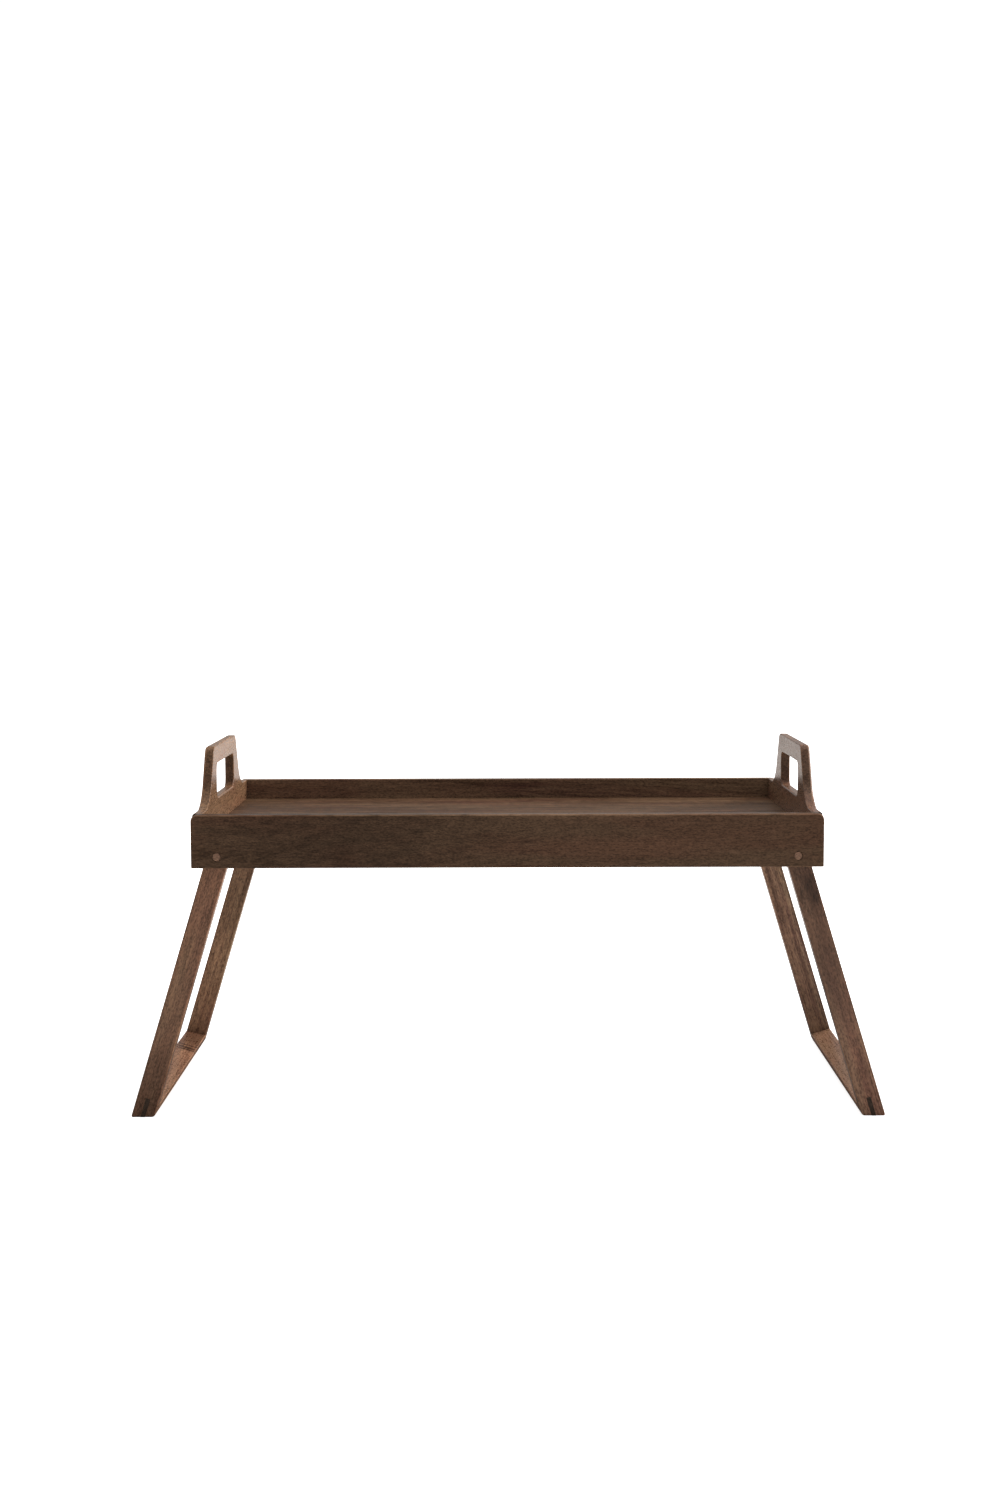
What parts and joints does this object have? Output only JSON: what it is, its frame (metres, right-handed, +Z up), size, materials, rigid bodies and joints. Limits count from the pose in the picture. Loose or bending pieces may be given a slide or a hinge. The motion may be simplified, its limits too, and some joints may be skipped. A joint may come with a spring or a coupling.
{
  "type": "folding tray table",
  "caption": "Wooden bed tray with raised rim and cut-out handles, on splayed leg frames that fold flat beneath it.",
  "frame": {"origin": "on the ground, under the middle of the open table", "axes": "+X along the tray from the left handle to the right one, +Y from the front rail to the back rail, +Z up"},
  "size_m": [0.7264, 0.36, 0.3515],
  "materials": {
    "rail_walnut": "oiled dark walnut, long grain along the tray",
    "end_board_walnut": "oiled walnut, grain across the tray",
    "floor_walnut": "satin walnut panel, long grain along the tray",
    "leg_walnut": "oiled walnut, grain along each bar",
    "key_dark_wood": "dark end-sealed hardwood",
    "dowel_wood": "turned hardwood, end grain showing",
    "washer_plastic": "dark matt nylon"
  },
  "bodies": {
    "tray": {"front_rail": "rail_walnut", "back_rail": "rail_walnut", "left_end_board": "end_board_walnut", "right_end_board": "end_board_walnut", "floor_panel": "floor_walnut", "left_front_pivot_dowel": "dowel_wood", "left_back_pivot_dowel": "dowel_wood", "right_front_pivot_dowel": "dowel_wood", "right_back_pivot_dowel": "dowel_wood", "left_front_spacer_washer": "washer_plastic", "left_back_spacer_washer": "washer_plastic", "right_front_spacer_washer": "washer_plastic", "right_back_spacer_washer": "washer_plastic"},
    "left_leg_frame": {"left_front_leg": "leg_walnut", "left_back_leg": "leg_walnut", "left_crosspiece": "leg_walnut", "left_front_corner_key": "key_dark_wood", "left_back_corner_key": "key_dark_wood"},
    "right_leg_frame": {"right_front_leg": "leg_walnut", "right_back_leg": "leg_walnut", "right_crosspiece": "leg_walnut", "right_front_corner_key": "key_dark_wood", "right_back_corner_key": "key_dark_wood"}
  },
  "joints": [
    {"name": "left_leg_fold", "type": "hinge", "parent": "tray", "child": "left_leg_frame", "pos_m": [-0.27558, 0, 0.2542], "axis": [0, -1, 0], "range_deg": [0, 106.8]},
    {"name": "right_leg_fold", "type": "hinge", "parent": "tray", "child": "right_leg_frame", "pos_m": [0.27558, 0, 0.2542], "axis": [0, 1, 0], "range_deg": [0, 106.8]}
  ]
}
